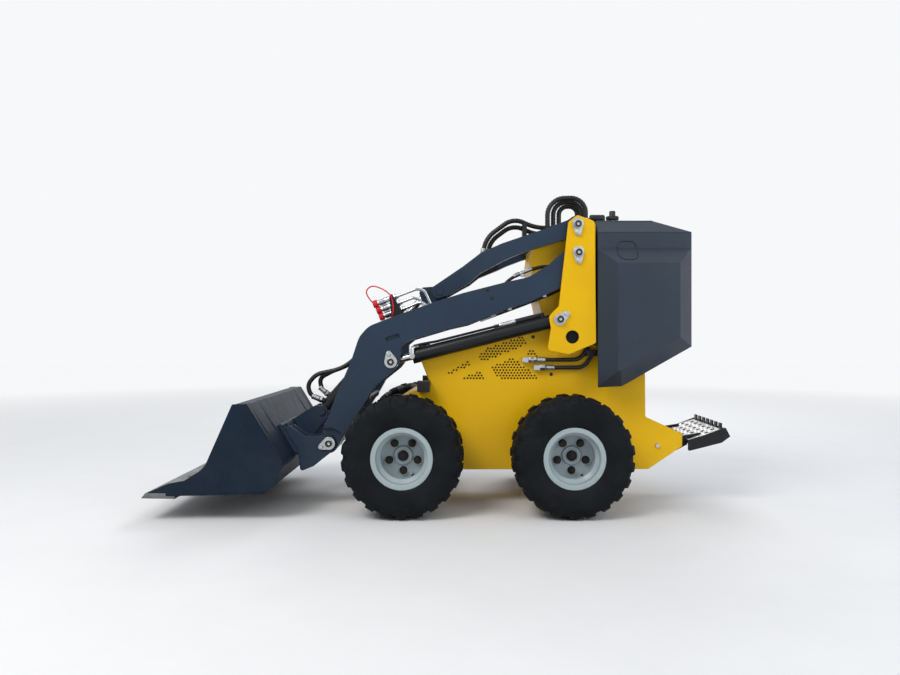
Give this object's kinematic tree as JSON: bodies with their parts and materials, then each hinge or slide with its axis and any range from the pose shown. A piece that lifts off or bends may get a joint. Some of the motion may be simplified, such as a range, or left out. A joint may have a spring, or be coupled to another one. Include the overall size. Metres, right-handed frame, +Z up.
{
  "type": "stand-on mini wheel loader",
  "caption": "Compact stand-on skid steer loader on lugged tyres, with a levelling lift boom, a tilting bucket, side hood pods and a fold-up rear platform.",
  "frame": {"origin": "on the ground under the middle of the machine's overall length and width, wheels resting at z = 0", "axes": "+Z up; the bucket points along -X and the operator stands at +X; the machine's left side is -Y"},
  "size_m": [2.247, 0.928, 1.2487],
  "materials": {
    "yellow_paint": "satin",
    "slate_paint": "satin",
    "black_paint": "satin",
    "rim_paint": "satin",
    "zinc_steel": "zinc plated",
    "bright_rod": "polished",
    "worn_steel": "worn bare edge",
    "tyre_rubber": "matt",
    "black_rubber": "matt",
    "black_plastic": "matt",
    "red_plastic": "soft dust caps",
    "engine_iron": "as cast",
    "pad_vinyl": "soft vinyl"
  },
  "bodies": {
    "chassis": {"side_plate_left": "yellow_paint", "side_plate_right": "yellow_paint", "belly_pan": "yellow_paint", "nose_panel": "yellow_paint", "front_cowl": "yellow_paint", "firewall": "yellow_paint", "engine_block": "engine_iron", "rear_grille": "yellow_paint", "tower_left": "yellow_paint", "tower_right": "yellow_paint", "tower_pins": "zinc_steel", "hood": "slate_paint", "console": "black_paint", "control_levers": "black_plastic", "hood_pod_left": "slate_paint", "hood_pod_right": "slate_paint", "hood_skirts": "slate_paint", "thigh_pad": "pad_vinyl", "filler_cap": "black_plastic", "wheel_motors": "engine_iron", "platform_pins": "zinc_steel", "boom_stops": "black_rubber", "tower_hoses": "black_rubber", "hose_rail": "yellow_paint", "side_hoses": "black_rubber", "side_pipes": "zinc_steel"},
    "wheel_front_left": {"tyre_front_left": "tyre_rubber", "rim_front_left": "rim_paint"},
    "wheel_front_right": {"tyre_front_right": "tyre_rubber", "rim_front_right": "rim_paint"},
    "wheel_rear_left": {"tyre_rear_left": "tyre_rubber", "rim_rear_left": "rim_paint"},
    "wheel_rear_right": {"tyre_rear_right": "tyre_rubber", "rim_rear_right": "rim_paint"},
    "boom": {"boom_arm_left": "slate_paint", "boom_arm_right": "slate_paint", "boom_cross_tubes": "slate_paint", "coupler_block": "black_paint", "coupler_pipes": "zinc_steel", "coupler_caps": "red_plastic"},
    "upper_link": {"upper_link": "slate_paint", "link_hoses": "black_rubber"},
    "lever": {"levelling_lever": "slate_paint"},
    "hitch_hub": {"hitch_shaft": "zinc_steel"},
    "bucket": {"hitch_frame": "slate_paint", "bucket": "slate_paint", "cutting_edge": "worn_steel"},
    "tilt_barrel": {"tilt_barrel": "black_paint", "tilt_hoses": "black_rubber"},
    "tilt_rod": {"tilt_rod": "bright_rod"},
    "lift_barrel_left": {"lift_left_barrel": "black_paint"},
    "lift_rod_left": {"lift_left_rod": "bright_rod"},
    "lift_barrel_right": {"lift_right_barrel": "black_paint"},
    "lift_rod_right": {"lift_right_rod": "bright_rod"},
    "platform": {"platform": "black_paint"}
  },
  "joints": [
    {"name": "wheel_front_left_spin", "type": "hinge", "parent": "chassis", "child": "wheel_front_left", "pos_m": [-0.1728, -0.3565, 0.2285], "axis": [0, 1, 0], "continuous": true},
    {"name": "wheel_front_right_spin", "type": "hinge", "parent": "chassis", "child": "wheel_front_right", "pos_m": [-0.1728, 0.3565, 0.2285], "axis": [0, 1, 0], "continuous": true},
    {"name": "wheel_rear_left_spin", "type": "hinge", "parent": "chassis", "child": "wheel_rear_left", "pos_m": [0.4616, -0.3565, 0.2285], "axis": [0, 1, 0], "continuous": true},
    {"name": "wheel_rear_right_spin", "type": "hinge", "parent": "chassis", "child": "wheel_rear_right", "pos_m": [0.4616, 0.3565, 0.2285], "axis": [0, 1, 0], "continuous": true},
    {"name": "boom_lift", "type": "hinge", "parent": "chassis", "child": "boom", "pos_m": [0.5047, 0, 1.0056], "axis": [0, 1, 0], "range_deg": [-5.5, 70]},
    {"name": "upper_link_turn", "type": "hinge", "parent": "chassis", "child": "upper_link", "pos_m": [0.502, 0, 1.1164], "axis": [0, 1, 0], "range_deg": [-5.5, 70]},
    {"name": "lever_turn", "type": "hinge", "parent": "boom", "child": "lever", "pos_m": [-0.04, 0, 0.752], "axis": [0, 1, 0], "range_deg": [-70, 5.5]},
    {"name": "hitch_levelling", "type": "hinge", "parent": "boom", "child": "hitch_hub", "pos_m": [-0.4755, 0, 0.256], "axis": [0, 1, 0], "range_deg": [-70, 5.5]},
    {"name": "bucket_tilt", "type": "hinge", "parent": "hitch_hub", "child": "bucket", "pos_m": [-0.4755, 0, 0.256], "axis": [0, 1, 0], "range_deg": [-45, 30]},
    {"name": "tilt_rod_turn", "type": "hinge", "parent": "lever", "child": "tilt_rod", "pos_m": [-0.106, 0, 0.858], "axis": [0, 1, 0], "range_deg": [-5.5, 70]},
    {"name": "tilt_barrel_slide", "type": "slide", "parent": "tilt_rod", "child": "tilt_barrel", "axis": [-0.6598, 0, -0.7514], "range_m": [-0.06031, 0.09042]},
    {"name": "lift_barrel_left_turn", "type": "hinge", "parent": "chassis", "child": "lift_barrel_left", "pos_m": [0.4331, -0.214, 0.7444], "axis": [0, 1, 0], "range_deg": [-5.38, 68.29]},
    {"name": "lift_rod_left_slide", "type": "slide", "parent": "lift_barrel_left", "child": "lift_rod_left", "axis": [-0.9697, 0, -0.2445], "range_m": [-0.02443, 0.3098]},
    {"name": "lift_barrel_right_turn", "type": "hinge", "parent": "chassis", "child": "lift_barrel_right", "pos_m": [0.4331, 0.214, 0.7444], "axis": [0, 1, 0], "range_deg": [-5.38, 68.29]},
    {"name": "lift_rod_right_slide", "type": "slide", "parent": "lift_barrel_right", "child": "lift_rod_right", "axis": [-0.9697, 0, -0.2445], "range_m": [-0.02443, 0.3098]},
    {"name": "platform_fold", "type": "hinge", "parent": "chassis", "child": "platform", "pos_m": [0.8364, 0, 0.2369], "axis": [0, -1, 0], "range_deg": [0, 65]}
  ],
  "couplings": [
    {"joint": "upper_link_turn", "follows": "boom_lift", "ratio": 1},
    {"joint": "lever_turn", "follows": "boom_lift", "ratio": -1},
    {"joint": "hitch_levelling", "follows": "boom_lift", "ratio": -1},
    {"joint": "tilt_rod_turn", "follows": "boom_lift", "ratio": 1},
    {"joint": "tilt_barrel_slide", "follows": "bucket_tilt", "m_per_rad": -0.115},
    {"joint": "lift_barrel_left_turn", "follows": "boom_lift", "ratio": 0.97543},
    {"joint": "lift_rod_left_slide", "follows": "boom_lift", "m_per_rad": 0.25349},
    {"joint": "lift_barrel_right_turn", "follows": "boom_lift", "ratio": 0.97543},
    {"joint": "lift_rod_right_slide", "follows": "boom_lift", "m_per_rad": 0.25349}
  ]
}
